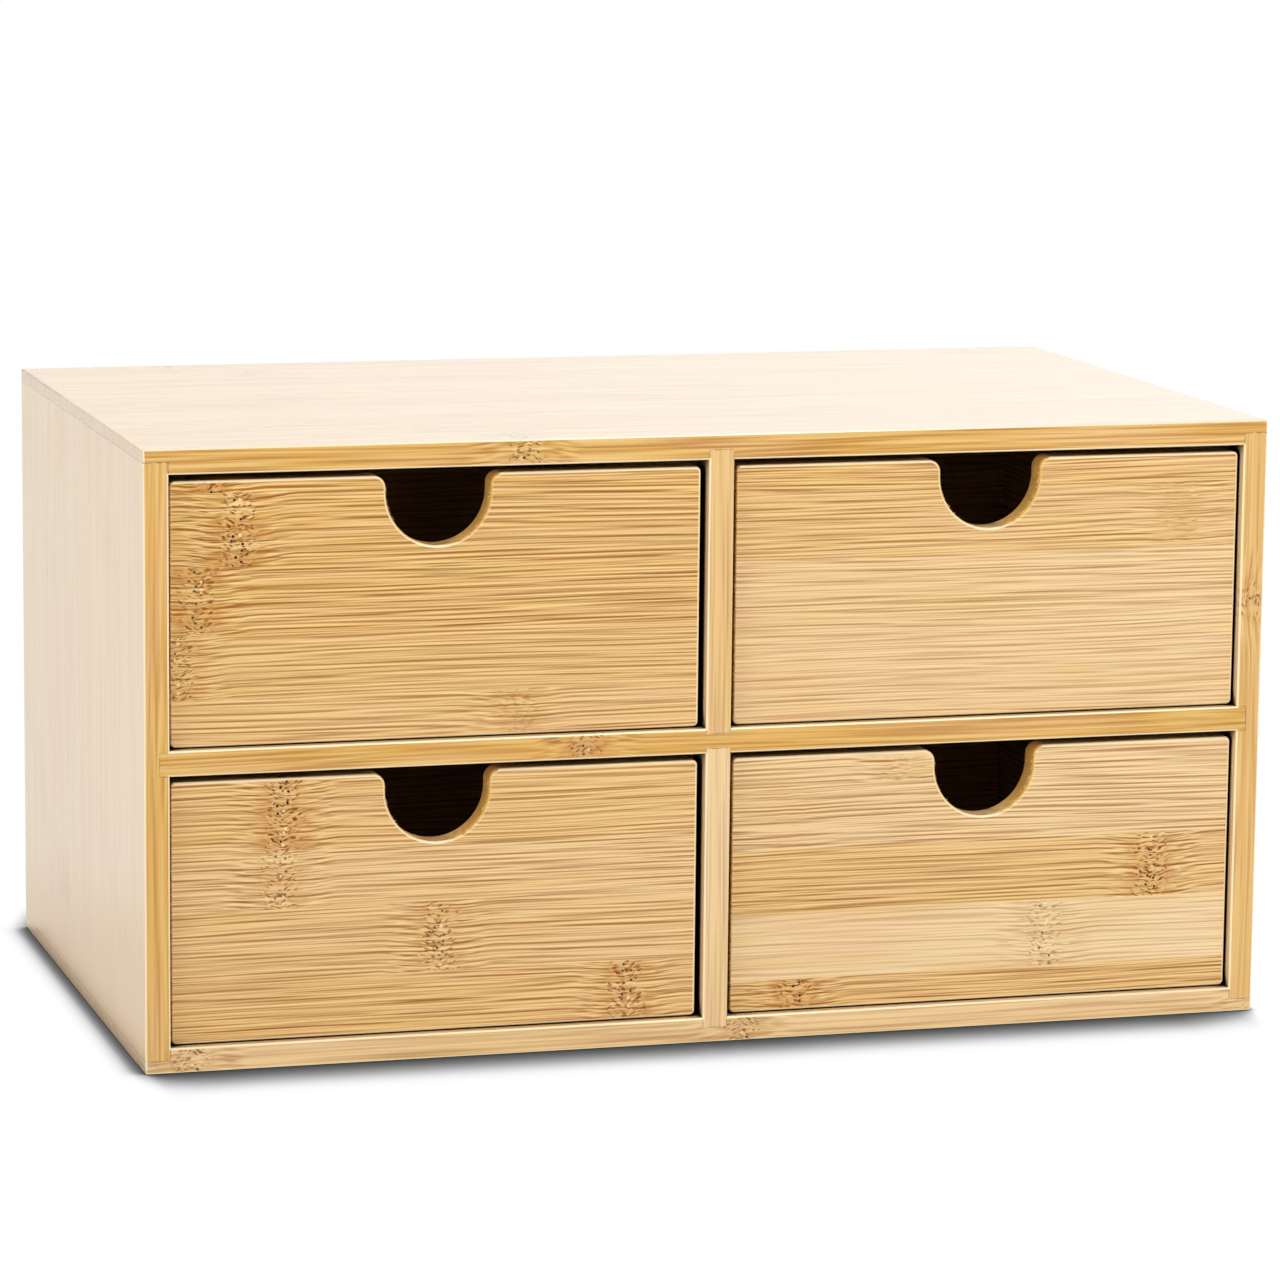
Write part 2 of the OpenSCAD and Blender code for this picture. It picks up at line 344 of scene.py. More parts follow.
def fibre_paths(tree, place, swerve, away, near, wide):
    """The paths of the fibres, which sway a little everywhere and are pushed aside at a knuckle.

    The second is that of a knuckle's broken fibres, which lean away from its middle,
    like the bones of a fish.
    """
    # They sway by up to 1.5 mm either way, over some 120 mm along the strip and 24 mm across it
    slow = add(tree, "ShaderNodeVectorMath", {0: place, 1: (1 / 120, 1 / 24, 1 / 24)}, operation="MULTIPLY")
    sway = add(tree, "ShaderNodeTexNoise", {"Vector": slow, "Scale": 1, "Detail": 0}).outputs["Color"]
    moved = add(tree, "ShaderNodeVectorMath", {0: sway, 1: (0, 3, 3), 2: place}, operation="MULTIPLY_ADD")
    # Round a knuckle they bend by up to 0.2 mm either way, and in it by 0.8 mm more
    bend = add(tree, "ShaderNodeMath", {0: wide, 1: 0.45}, operation="MULTIPLY")
    bend = add(tree, "ShaderNodeMath", {0: near, 1: 1.6, 2: bend}, operation="MULTIPLY_ADD")
    bend = add(tree, "ShaderNodeCombineXYZ", {1: bend, 2: bend})
    moved = add(tree, "ShaderNodeVectorMath", {0: swerve, 1: bend, 2: moved}, operation="MULTIPLY_ADD")
    # It pushes them 0.8 mm aside, and its broken ones lean 1 mm for every 3 mm from its middle
    aside = add(tree, "ShaderNodeMath", {0: wide, 1: -0.8}, operation="MULTIPLY")
    aside = add(tree, "ShaderNodeCombineXYZ", {1: aside, 2: aside})
    moved = add(tree, "ShaderNodeVectorMath", {0: moved, 1: aside})
    lean = add(tree, "ShaderNodeMath", {0: away, 1: 0.35}, operation="MULTIPLY")
    lean = add(tree, "ShaderNodeCombineXYZ", {1: lean, 2: lean})
    return moved, add(tree, "ShaderNodeVectorMath", {0: moved, 1: lean})


def knuckle_marks(tree, given, broken_fibres, broken):
    """What marks a broken knuckle: its short fibres, the pale rims between them, which are partly painted
    highlight, its spots and its pores.
    """
    dashes = add(tree, "ShaderNodeTexVoronoi", {"Vector": broken_fibres, "Scale": 1})
    dash = add(tree, "ShaderNodeMapRange", {0: dashes, 1: 0.46, 2: 0.24}, interpolation_type="SMOOTHSTEP")
    chosen = add(tree, "ShaderNodeSeparateColor", {0: dashes.outputs["Color"]})
    chosen = add(tree, "ShaderNodeMapRange", {0: chosen, 1: -0.25, 2: 0.4})
    browned = add(tree, "ShaderNodeMapRange", {0: given["Depth"], 1: 0.1, 2: 0.5, 3: 0.55, 4: 1})
    for share in (chosen, broken, browned):
        dash = add(tree, "ShaderNodeMath", {0: dash, 1: share}, operation="MULTIPLY")
    # The pale rims are partly the knuckle's paler tissue and partly painted highlight on the lips of the
    # sunken fibres
    rim = add(tree, "ShaderNodeMapRange", {0: dashes, 1: 0.42, 2: 0.6}, interpolation_type="SMOOTHSTEP")

    # The pores run at a slant through the board, so they show as dots on its faces and
    # its edges. They stand in the one or two rows nearest to the middle of the knuckle.
    split = add(tree, "ShaderNodeSeparateXYZ", {0: given["Place"]}).outputs
    slant = add(tree, "ShaderNodeMath", {0: split[1], 1: split[2]})
    at_knuckle = add(tree, "ShaderNodeCombineXYZ", {0: given["Knuckle"], 1: slant})
    pores = add(tree, "ShaderNodeTexVoronoi", {
        "Vector": at_knuckle, "Scale": 1 / PORE_SPACING, "Randomness": 0.85,
    }, voronoi_dimensions="2D")
    row = add(tree, "ShaderNodeSeparateXYZ", {0: pores.outputs["Position"]})
    row = add(tree, "ShaderNodeMath", {0: row, 1: 0.0, 2: 1.7}, operation="COMPARE")
    row = add(tree, "ShaderNodeMath", {0: row, 1: broken}, operation="MULTIPLY")
    # Each is a dark hole or, for a third of them, a pale spot where one is closed
    picked = add(tree, "ShaderNodeSeparateColor", {0: pores.outputs["Color"]}).outputs
    hole = add(tree, "ShaderNodeMath", {0: picked[0], 1: 0.35}, operation="GREATER_THAN")
    size = add(tree, "ShaderNodeMapRange", {0: picked[1], 3: 0.15, 4: 0.22})
    spot = add(tree, "ShaderNodeMapRange", {0: pores, 1: size, 2: 0.1}, interpolation_type="SMOOTHSTEP")
    spot = add(tree, "ShaderNodeMath", {0: spot, 1: row}, operation="MULTIPLY")
    pore = add(tree, "ShaderNodeMath", {0: spot, 1: hole}, operation="MULTIPLY")
    return dash, rim, spot, pore


def bamboo_figure(settings):
    """The node group that draws one strip of bamboo, in mm: x along its fibres, y across them.

    It is given how far past its knuckle each place lies, and from 0 to 1 how strongly the
    knuckle shows, how deep the colour of the strip is, and how streaked it is.
    """
    tree = bpy.data.node_groups.new("bamboo_figure", "ShaderNodeTree")
    for name, kind in {
        "Place": "Vector", "Knuckle": "Float", "Strength": "Float", "Depth": "Float", "Streaks": "Float",
    }.items():
        tree.interface.new_socket(name, in_out="INPUT", socket_type=f"NodeSocket{kind}")
    for name, kind in {"Color": "Color", "Height": "Float", "Pore": "Float"}.items():
        tree.interface.new_socket(name, in_out="OUTPUT", socket_type=f"NodeSocket{kind}")
    given = add(tree, "NodeGroupInput").outputs
    swerve, away, near, broken, stained, wide = knuckle_reach(tree, given)
    moved, leaning = fibre_paths(tree, given["Place"], swerve, away, near, wide)

    # How far each pattern runs along the fibres and across them before it changes, in
    # mm. The finest fibres of bamboo are too thin to show, so they are drawn 0.4 mm wide.
    stretched = {}
    for name, path, along, across in (
        ("grain", moved, 42, 0.75),
        ("fibres", moved, 52, 0.42),
        ("strands", moved, 60, 0.8),
        ("patches", moved, 50, 5.5),
        ("broken fibres", leaning, 3.4, 0.74),
    ):
        stretch = (1 / along, 1 / across, 1 / across)
        stretched[name] = add(tree, "ShaderNodeVectorMath", {0: path, 1: stretch}, operation="MULTIPLY")
    fine = {}
    for name in ("grain", "fibres"):
        here = add(tree, "ShaderNodeTexNoise", {"Vector": stretched[name], "Scale": 1, "Detail": 0})
        beside = add(tree, "ShaderNodeVectorMath", {0: stretched[name], 1: (0, 0.9, 0)})
        beside = add(tree, "ShaderNodeTexNoise", {"Vector": beside, "Scale": 1, "Detail": 0})
        # Less what it is a little further on, a noise has no broad bands
        fine[name] = add(tree, "ShaderNodeMath", {0: here, 1: beside}, operation="SUBTRACT")
    grain, fibres = fine["grain"], fine["fibres"]
    # Here and there a strand among them is dark
    strands = add(tree, "ShaderNodeTexVoronoi", {"Vector": stretched["strands"], "Scale": 1})
    pick = add(tree, "ShaderNodeSeparateColor", {0: strands.outputs["Color"]})
    strand = add(tree, "ShaderNodeMapRange", {0: strands, 1: 0.3, 2: 0.14}, interpolation_type="SMOOTHSTEP")
    strand = add(tree, "ShaderNodeMath", {0: strand, 1: pick}, operation="MULTIPLY")
    patches = add(tree, "ShaderNodeTexNoise", {"Vector": stretched["patches"], "Scale": 1, "Detail": 0})
    patch = add(tree, "ShaderNodeSeparateColor", {0: patches.outputs["Color"]}).outputs
    dash, rim, spot, pore = knuckle_marks(tree, given, stretched["broken fibres"], broken)

    # Streaks show more where the fibres part round a knuckle
    streaks = add(tree, "ShaderNodeMath", {0: wide, 1: 0.2, 2: given["Streaks"]}, operation="MULTIPLY_ADD")
    rosy, greenish, dark_strand = linear("#E4AE88"), linear("#DAB862"), linear("#824610")
    stain, pale_rim_and_highlight, brown_dash = linear("#B87010"), linear("#FFE6A0"), linear("#7C3800")
    closed_pore, open_pore = linear("#FCE6B4"), linear("#2A1004")
    # Each layer has its colour, what drives it, the values between which it fades
    # in, its greatest share, and what else limits it
    colour = settings.pale
    for paint, value, low, high, most, limit in (
        (settings.deep, given["Depth"], 0, 1, 1, None),
        (rosy, patch[0], 0.5, 0.66, 0.2, None),
        (greenish, patch[1], 0.5, 0.66, 0.2, None),
        (settings.pale_fibres, grain, 0, 0.3, 0.5, streaks),
        (settings.dark_fibres, grain, -0.03, -0.27, 0.76, streaks),
        (settings.pale_fibres, fibres, 0, 0.25, 0.34, streaks),
        (settings.dark_fibres, fibres, 0, -0.25, 0.45, streaks),
        (dark_strand, strand, 0, 1, 0.7, streaks),
        (stain, patch[2], 0.26, 0.52, 0.66, stained),
        (pale_rim_and_highlight, rim, 0, 1, 0.18, broken),
        (brown_dash, dash, 0, 1, 0.95, None),
        (closed_pore, spot, 0, 1, 0.8, None),
        (open_pore, pore, 0, 1, 1, None),
    ):
        share = add(tree, "ShaderNodeMapRange", {0: value, 1: low, 2: high, 4: most})
        if limit:
            share = add(tree, "ShaderNodeMath", {0: share, 1: limit}, operation="MULTIPLY")
        colour = add(tree, "ShaderNodeMix", {0: share, 6: colour, 7: paint}, data_type="RGBA").outputs[2]

    # The relief that sanding leaves: dark strands and broken fibres lie a little lower
    height = add(tree, "ShaderNodeMath", {0: strand, 1: -0.5, 2: fibres}, operation="MULTIPLY_ADD")
    height = add(tree, "ShaderNodeMath", {0: dash, 1: -0.3, 2: height}, operation="MULTIPLY_ADD")
    add(tree, "NodeGroupOutput", {"Color": colour, "Height": height, "Pore": pore})
    return tree


def strips_of(name, width, settings):
    """The strips of a board, from its first edge on, each as (start, knuckle, strength, depth, streaks)."""
    draw = random.Random(name)
    strip_width, pitch = settings.strip_width / MM, settings.knuckle_pitch / MM
    strips = list(PICKED.get(name, ()))
    far = strips[-1][0] if strips else (draw.random() - 1) * strip_width
    while far < width:
        far += strip_width
        knuckle, strength = draw.uniform(0, pitch), draw.uniform(0.4, 0.9)
        depth, streaks = draw.uniform(0.1, 0.35), draw.uniform(0.3, 0.6)
        strips.append((far, knuckle, strength, depth, streaks))
    starts = [0] + [strip[0] for strip in strips]
    return [(start, *strip[1:]) for start, strip in zip(starts, strips)]


def lie_of(name, lay):
    """How a board lies: the turn into its own axes, its first corner, and its size along each axis in mm."""
    along, across = lay
    through = along.cross(across)
    low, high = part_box(name)
    towards = along + across + through
    corner = Vector([(high if towards[i] < 0 else low)[i] for i in range(3)])
    size = [abs((high - low).dot(axis)) / MM for axis in (along, across, through)]
    return Matrix((along, across, through)), corner, size


def cut_ends(tree, mapping, settings):
    """The colour of the ends, which show the cut bundles of fibres: dark dots, and paler ones among them."""
    bundles = add(tree, "ShaderNodeTexVoronoi", {"Vector": mapping, "Scale": 1 / BUNDLE_SPACING})
    paler = add(tree, "ShaderNodeSeparateColor", {0: bundles.outputs["Color"]})
    paler = add(tree, "ShaderNodeMapRange", {0: paler, 1: 0.55, 2: 0.8, 4: 0.8})
    dot = add(tree, "ShaderNodeMapRange", {0: bundles, 1: 0.55, 2: 0.25})
    dark = add(tree, "ShaderNodeMath", {0: 0.85, 1: paler}, operation="SUBTRACT")
    dark = add(tree, "ShaderNodeMath", {0: dark, 1: dot}, operation="MULTIPLY")
    colour = settings.end_grain
    for share, paint in ((paler, linear("#D29C54")), (dark, linear("#4A280C"))):
        colour = add(tree, "ShaderNodeMix", {0: share, 6: colour, 7: paint}, data_type="RGBA").outputs[2]
    return colour


def sanded_and_highlit_edges(tree, name, rightwards, frontwards):
    """Where edges round a face at the front are sanded paler, and painted as highlights for the light they
    catch; on the drawers not those facing left, away from the light.
    """
    # An eased edge faces neither quite forwards nor quite sideways
    off_front = add(tree, "ShaderNodeMapRange", {0: frontwards, 1: -0.999, 2: -0.96, 4: 0.9})
    off_side = add(tree, "ShaderNodeMapRange", {0: frontwards, 1: -0.05, 2: -0.3})
    eased_and_highlit = add(tree, "ShaderNodeMath", {0: off_front, 1: off_side}, operation="MULTIPLY")
    if name in CASE_LAY:
        return eased_and_highlit
    # On the drawers the painted highlight is left off the edges that face left, away from the light
    off_left = add(tree, "ShaderNodeMapRange", {0: rightwards, 1: -0.3, 2: -0.1})
    return add(tree, "ShaderNodeMath", {0: eased_and_highlit, 1: off_left}, operation="MULTIPLY")


def notch_walls(tree, place, facing, length):
    """Where the walls of a notch are, which the cutter leaves paler and the lacquer misses; they are painted
    paler still as painted light, for light that hardly reaches into the notch.
    """
    # The ends of the front face sideways too, so the 10 mm next to each is left out
    from_right = add(tree, "ShaderNodeMath", {0: length, 1: place[0]}, operation="SUBTRACT")
    inset = add(tree, "ShaderNodeMath", {0: place[0], 1: from_right}, operation="MINIMUM")
    inset = add(tree, "ShaderNodeMapRange", {0: inset, 1: 10, 2: 20, 4: 0.65})
    wall = add(tree, "ShaderNodeMapRange", {0: facing[0], 1: 0.2, 2: 0.5})
    return add(tree, "ShaderNodeMath", {0: wall, 1: inset}, operation="MULTIPLY")


def glue_lines(tree, name, mapping, place, front, size):
    """Where thin lines of glue show, at the ends of a board and beside what is let into its neighbours."""
    first, last = LET_IN[name]
    length, _, thickness = size
    from_end = add(tree, "ShaderNodeMath", {0: length, 1: place[0]}, operation="SUBTRACT")
    from_back = add(tree, "ShaderNodeMath", {0: thickness, 1: place[2]}, operation="SUBTRACT")
    to_end = add(tree, "ShaderNodeMath", {0: place[0], 1: from_end}, operation="MINIMUM")
    to_face = add(tree, "ShaderNodeMath", {0: place[2], 1: from_back}, operation="MINIMUM")
    in_first = add(tree, "ShaderNodeMath", {0: place[0], 1: first}, operation="LESS_THAN")
    in_last = add(tree, "ShaderNodeMath", {0: from_end, 1: last}, operation="LESS_THAN")
    let_in = add(tree, "ShaderNodeMath", {0: in_first, 1: in_last}, operation="MAXIMUM")
    let_in = add(tree, "ShaderNodeMath", {0: let_in, 1: front}, operation="MULTIPLY")
    side_line = add(tree, "ShaderNodeMapRange", {0: to_face, 1: 0.3, 2: 0.1})
    side_line = add(tree, "ShaderNodeMath", {0: side_line, 1: let_in}, operation="MULTIPLY")
    end_line = add(tree, "ShaderNodeMapRange", {0: to_end, 1: 0.35, 2: 0.1})
    seam = add(tree, "ShaderNodeMath", {0: side_line, 1: end_line}, operation="MAXIMUM")
    patchy = add(tree, "ShaderNodeTexNoise", {"Vector": mapping, "Scale": 1.1, "Detail": 1})
    patchy = add(tree, "ShaderNodeMapRange", {0: patchy, 1: 0.35, 2: 0.6, 4: 0.85})
    return add(tree, "ShaderNodeMath", {0: seam, 1: patchy}, operation="MULTIPLY")


def painted_drawer_gap_shade(tree, coordinates, front):
    """Where a board of the case lines a gap beside a drawer: painted shade, near black, for the light that
    hardly gets in.
    """
    # A gap is where a drawer's side lies close in front, and shuts out most of what is within 6 mm; the
    # shade there is painted in
    openness = add(tree, "ShaderNodeAmbientOcclusion", {"Distance": 6 * MM}, samples=8).outputs["AO"]
    gap_shade = add(tree, "ShaderNodeMapRange", {0: openness, 1: 0.52, 2: 0.38})
    inwards = add(tree, "ShaderNodeMath", {0: 1, 1: front}, operation="SUBTRACT")
    gap_shade = add(tree, "ShaderNodeMath", {0: gap_shade, 1: inwards}, operation="MULTIPLY")
    behind = add(tree, "ShaderNodeSeparateXYZ", {0: coordinates["Object"]}).outputs[1]
    light, dark = (CAD_BOX[0].y + inset * MM for inset in (GAP_LIGHT, GAP_DARK))
    mouth = add(tree, "ShaderNodeMapRange", {0: behind, 1: light, 2: dark})
    return add(tree, "ShaderNodeMath", {0: gap_shade, 1: mouth}, operation="MULTIPLY")


def bamboo(name, lay, figure, settings, lacquer=1.0, end_share=0.15):
    """Bamboo board, laminated, sanded and lacquered: streaked lengthwise, with a satin sheen.

    The share of its ends is how clearly their cut bundles of fibres show.
    """
    turn, corner, size = lie_of(name, lay)
    length, width, _ = size
    material, tree = blank_material(f"bamboo_{name}")
    coordinates = add(tree, "ShaderNodeTexCoord").outputs
    mapping = add(tree, "ShaderNodeMapping", {
        "Vector": coordinates["Object"],
        "Location": -(turn @ corner) / MM,
        "Rotation": turn.to_euler(),
        "Scale": (1 / MM,) * 3,
    })
    place = add(tree, "ShaderNodeSeparateXYZ", {0: mapping}).outputs
    facing = add(tree, "ShaderNodeMapping", {"Vector": coordinates["Normal"], "Rotation": turn.to_euler()})
    facing = add(tree, "ShaderNodeVectorMath", {0: facing}, operation="ABSOLUTE")
    facing = add(tree, "ShaderNodeSeparateXYZ", {0: facing}).outputs
    rightwards, frontwards, _ = add(tree, "ShaderNodeSeparateXYZ", {0: coordinates["Normal"]}).outputs
    # 1 on what faces the front of the chest, and 0 on the rest
    front = add(tree, "ShaderNodeMapRange", {0: frontwards, 1: -0.5, 2: -0.9})

    # One ramp across the board holds what sets its strips apart. Its channels hold
    # 0 to 1, so a knuckle's place is scaled down to fit.
    share = add(tree, "ShaderNodeMath", {0: place[1], 1: width}, operation="DIVIDE")
    stops = []
    for start, at, *rest in strips_of(name, width, settings):
        stops.append((start / width, (at / FURTHEST_KNUCKLE, *rest)))
    ramp = add(tree, "ShaderNodeValToRGB", {0: share}, stops)
    ramp.color_ramp.interpolation = "CONSTANT"
    # How far past the nearest knuckle of its strip each place lies
    knuckle, strength, depth = add(tree, "ShaderNodeSeparateColor", {0: ramp}).outputs
    streaks = ramp.outputs["Alpha"]
    off = add(
        tree, "ShaderNodeMath", {0: knuckle, 1: -FURTHEST_KNUCKLE, 2: place[0]}, operation="MULTIPLY_ADD",
    )
    half = PITCH.get(name, settings.knuckle_pitch / MM) / 2
    off = add(tree, "ShaderNodeMath", {0: off, 1: half, 2: -half}, operation="WRAP")
    # Each strip is cut from another place in the cane
    cane = add(tree, "ShaderNodeTexWhiteNoise", {0: ramp}, noise_dimensions="3D").outputs["Color"]
    inside = add(
        tree, "ShaderNodeVectorMath", {0: cane, 1: NEXT_IN_CANE, 2: mapping}, operation="MULTIPLY_ADD",
    )

    if name == "top_panel":
        # Painted light: the top is drawn paler, standing in for the strong light and glare on it
        depth = add(tree, "ShaderNodeMath", {0: depth, 1: 0.25}, operation="MULTIPLY")
    if name == "left_side":
        # Painted shade: this side is drawn deeper in colour towards its foot, above all at the front,
        # standing in for the shade near the floor
        up = add(tree, "ShaderNodeMath", {0: place[1], 1: 0.165, 2: place[0]}, operation="MULTIPLY_ADD")
        foot = add(
            tree, "ShaderNodeMapRange", {0: up, 1: 60, 2: 26, 4: 0.6}, interpolation_type="SMOOTHSTEP",
        )
        depth = add(tree, "ShaderNodeMath", {0: depth, 1: foot})
    if name.endswith("_front"):
        # Painted light: the fronts are a little paler towards the right, where more light falls on them
        painted_light_rightwards = add(tree, "ShaderNodeMapRange", {0: place[0], 1: 0, 2: length, 3: 0.03, 4: -0.07})
        depth = add(tree, "ShaderNodeMath", {0: depth, 1: painted_light_rightwards})
    if name in FRONT_EDGE:
        edge_depth, edge_streaks = FRONT_EDGE[name]
        depth = add(tree, "ShaderNodeMapRange", {0: front, 3: depth, 4: edge_depth})
        streaks = add(tree, "ShaderNodeMapRange", {0: front, 3: streaks, 4: edge_streaks})
    drawn = add(tree, "ShaderNodeGroup", {
        "Place": inside, "Knuckle": off, "Strength": strength, "Depth": depth, "Streaks": streaks,
    }, node_tree=figure).outputs

    # What lies over the figure, each with its share and its colour
    layers = []
    if name == "top_panel":
        # Painted light: its upper face and underside are painted paler still towards the right end, standing
        # in for the glare on the upper face
        painted_glare = add(tree, "ShaderNodeMapRange", {0: place[0], 1: 0, 2: length, 3: 0.05, 4: 0.45})
        upper = add(tree, "ShaderNodeMapRange", {0: facing[2], 1: 0.8, 2: 1})
        painted_glare = add(tree, "ShaderNodeMath", {0: painted_glare, 1: upper}, operation="MULTIPLY")
        layers.append((painted_glare, linear("#FFF2E2")))
    end = add(
        tree, "ShaderNodeMapRange", {0: facing[0], 1: 0.45, 2: 0.9, 4: end_share},
        interpolation_type="SMOOTHSTEP",
    )
    layers.append((end, cut_ends(tree, mapping, settings)))
    layers.append((sanded_and_highlit_edges(tree, name, rightwards, frontwards), settings.sanded))
    if name.endswith("_front"):
        layers.append((notch_walls(tree, place, facing, length), linear("#F8C468")))
    if name in LET_IN:
        layers.append((glue_lines(tree, name, mapping, place, front, size), linear("#5A3410")))
    # The lacquer shines neither in a pore nor on the painted shade of a gap
    dull = drawn["Pore"]
    if name in CASE_LAY:
        # Painted shade: the gaps beside the drawers are painted near black
        gap_shade = painted_drawer_gap_shade(tree, coordinates, front)
        layers.append((gap_shade, linear("#0A0502")))
        dull = add(tree, "ShaderNodeMath", {0: gap_shade, 1: dull}, operation="MAXIMUM")
    colour = drawn["Color"]
    for share, paint in layers:
        colour = add(tree, "ShaderNodeMix", {0: share, 6: colour, 7: paint}, data_type="RGBA").outputs[2]

    # The wood itself is dull, and its fibres stand 0.05 mm proud. The lacquer over them
    # is a satin one, clear, with reflections that are soft at their edges.
    gloss = add(tree, "ShaderNodeMapRange", {0: dull, 3: lacquer, 4: 0})
    bump = add(tree, "ShaderNodeBump", {"Height": drawn["Height"], "Strength": 0.6, "Distance": 0.05 * MM})
    shader = add(tree, "ShaderNodeBsdfPrincipled", {
        "Base Color": colour,
        "Normal": bump,
        "Roughness": 0.5,
        "IOR": 1.4,
        "Specular IOR Level": 0.15,
        "Coat Weight": gloss,
        "Coat Roughness": 0.22,
        "Coat IOR": 1.55,
    })
    add(tree, "ShaderNodeOutputMaterial", {"Surface": shader})
    return material


def dress(board, material):
    """Gives a board this material in place of the one it came with."""
    board.data.materials.clear()
    board.data.materials.append(material)


def seated_panel(name):
    """The top or bottom panel with its right shoulder out against the side, where the solid has it short."""
    inner_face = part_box("right_side")[0].x
    short_by = 1.2 * MM  # a little more than the 1 mm that it is
    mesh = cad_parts[name].data.copy()
    merged = bmesh.new()
    merged.from_mesh(mesh)
    bmesh.ops.remove_doubles(merged, verts=merged.verts, dist=0.001 * MM)
    for vertex in merged.verts:
        if 0 < inner_face - vertex.co.x < short_by:
            vertex.co.x = inner_face
    merged.to_mesh(mesh)
    merged.free()
    panel = bpy.data.objects.new(f"{name}_seated", mesh)
    bpy.context.collection.objects.link(panel)
    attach(panel, "case")
    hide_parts(name)
    return panel


class DESK_DRAWERS_OT_dress_case(bpy.types.Operator):
    """Gives the boards of the case their bamboo"""

    bl_idname = "desk_drawers.dress_case"
    bl_label = "Dress the case"

    def execute(self, context):
        settings = context.scene.bamboo
        figure = bpy.data.node_groups.get("bamboo_figure") or bamboo_figure(settings)
        for name, lay in CASE_LAY.items():
            board = seated_panel(name) if name in ("top_panel", "bottom_panel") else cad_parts[name]
            dress(board, bamboo(name, lay, figure, settings))
        return {"FINISHED"}


class DESK_DRAWERS_OT_dress_drawers(bpy.types.Operator):
    """Gives the boards of the drawers their bamboo"""

    bl_idname = "desk_drawers.dress_drawers"
    bl_label = "Dress the drawers"

    def execute(self, context):
        settings = context.scene.bamboo
        figure = bpy.data.node_groups.get("bamboo_figure") or bamboo_figure(settings)
        for drawer in DRAWERS:
            for board, lay in BOX_LAY.items():
                # The fronts are lacquered thinly, and the boxes behind them not at all
                lacquer = 0.2 if board == "front" else 0.0
                name = f"{drawer}_{board}"
                dress(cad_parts[name], bamboo(name, lay, figure, settings, lacquer, end_share=0.9))
        return {"FINISHED"}


# ---- Standing fibres ----


def bamboo_fibres(settings):
    """Bamboo fibres, torn by the cutter: dry and dull, pale with browner stretches 0.5 mm long."""
    material, tree = blank_material("bamboo_fibres")
    place = add(tree, "ShaderNodeTexCoord").outputs["Object"]
    browner = add(tree, "ShaderNodeTexNoise", {"Vector": place, "Scale": 1 / (0.5 * MM), "Detail": 1})
    browner = add(tree, "ShaderNodeMapRange", {0: browner, 1: 0.4, 2: 0.62})
    colour = add(tree, "ShaderNodeMix", {
        0: browner, 6: settings.sanded, 7: linear("#D9A25A"),
    }, data_type="RGBA").outputs[2]
    shader = add(tree, "ShaderNodeBsdfPrincipled", {"Base Color": colour, "Roughness": 0.8})
    add(tree, "ShaderNodeOutputMaterial", {"Surface": shader})
    return material


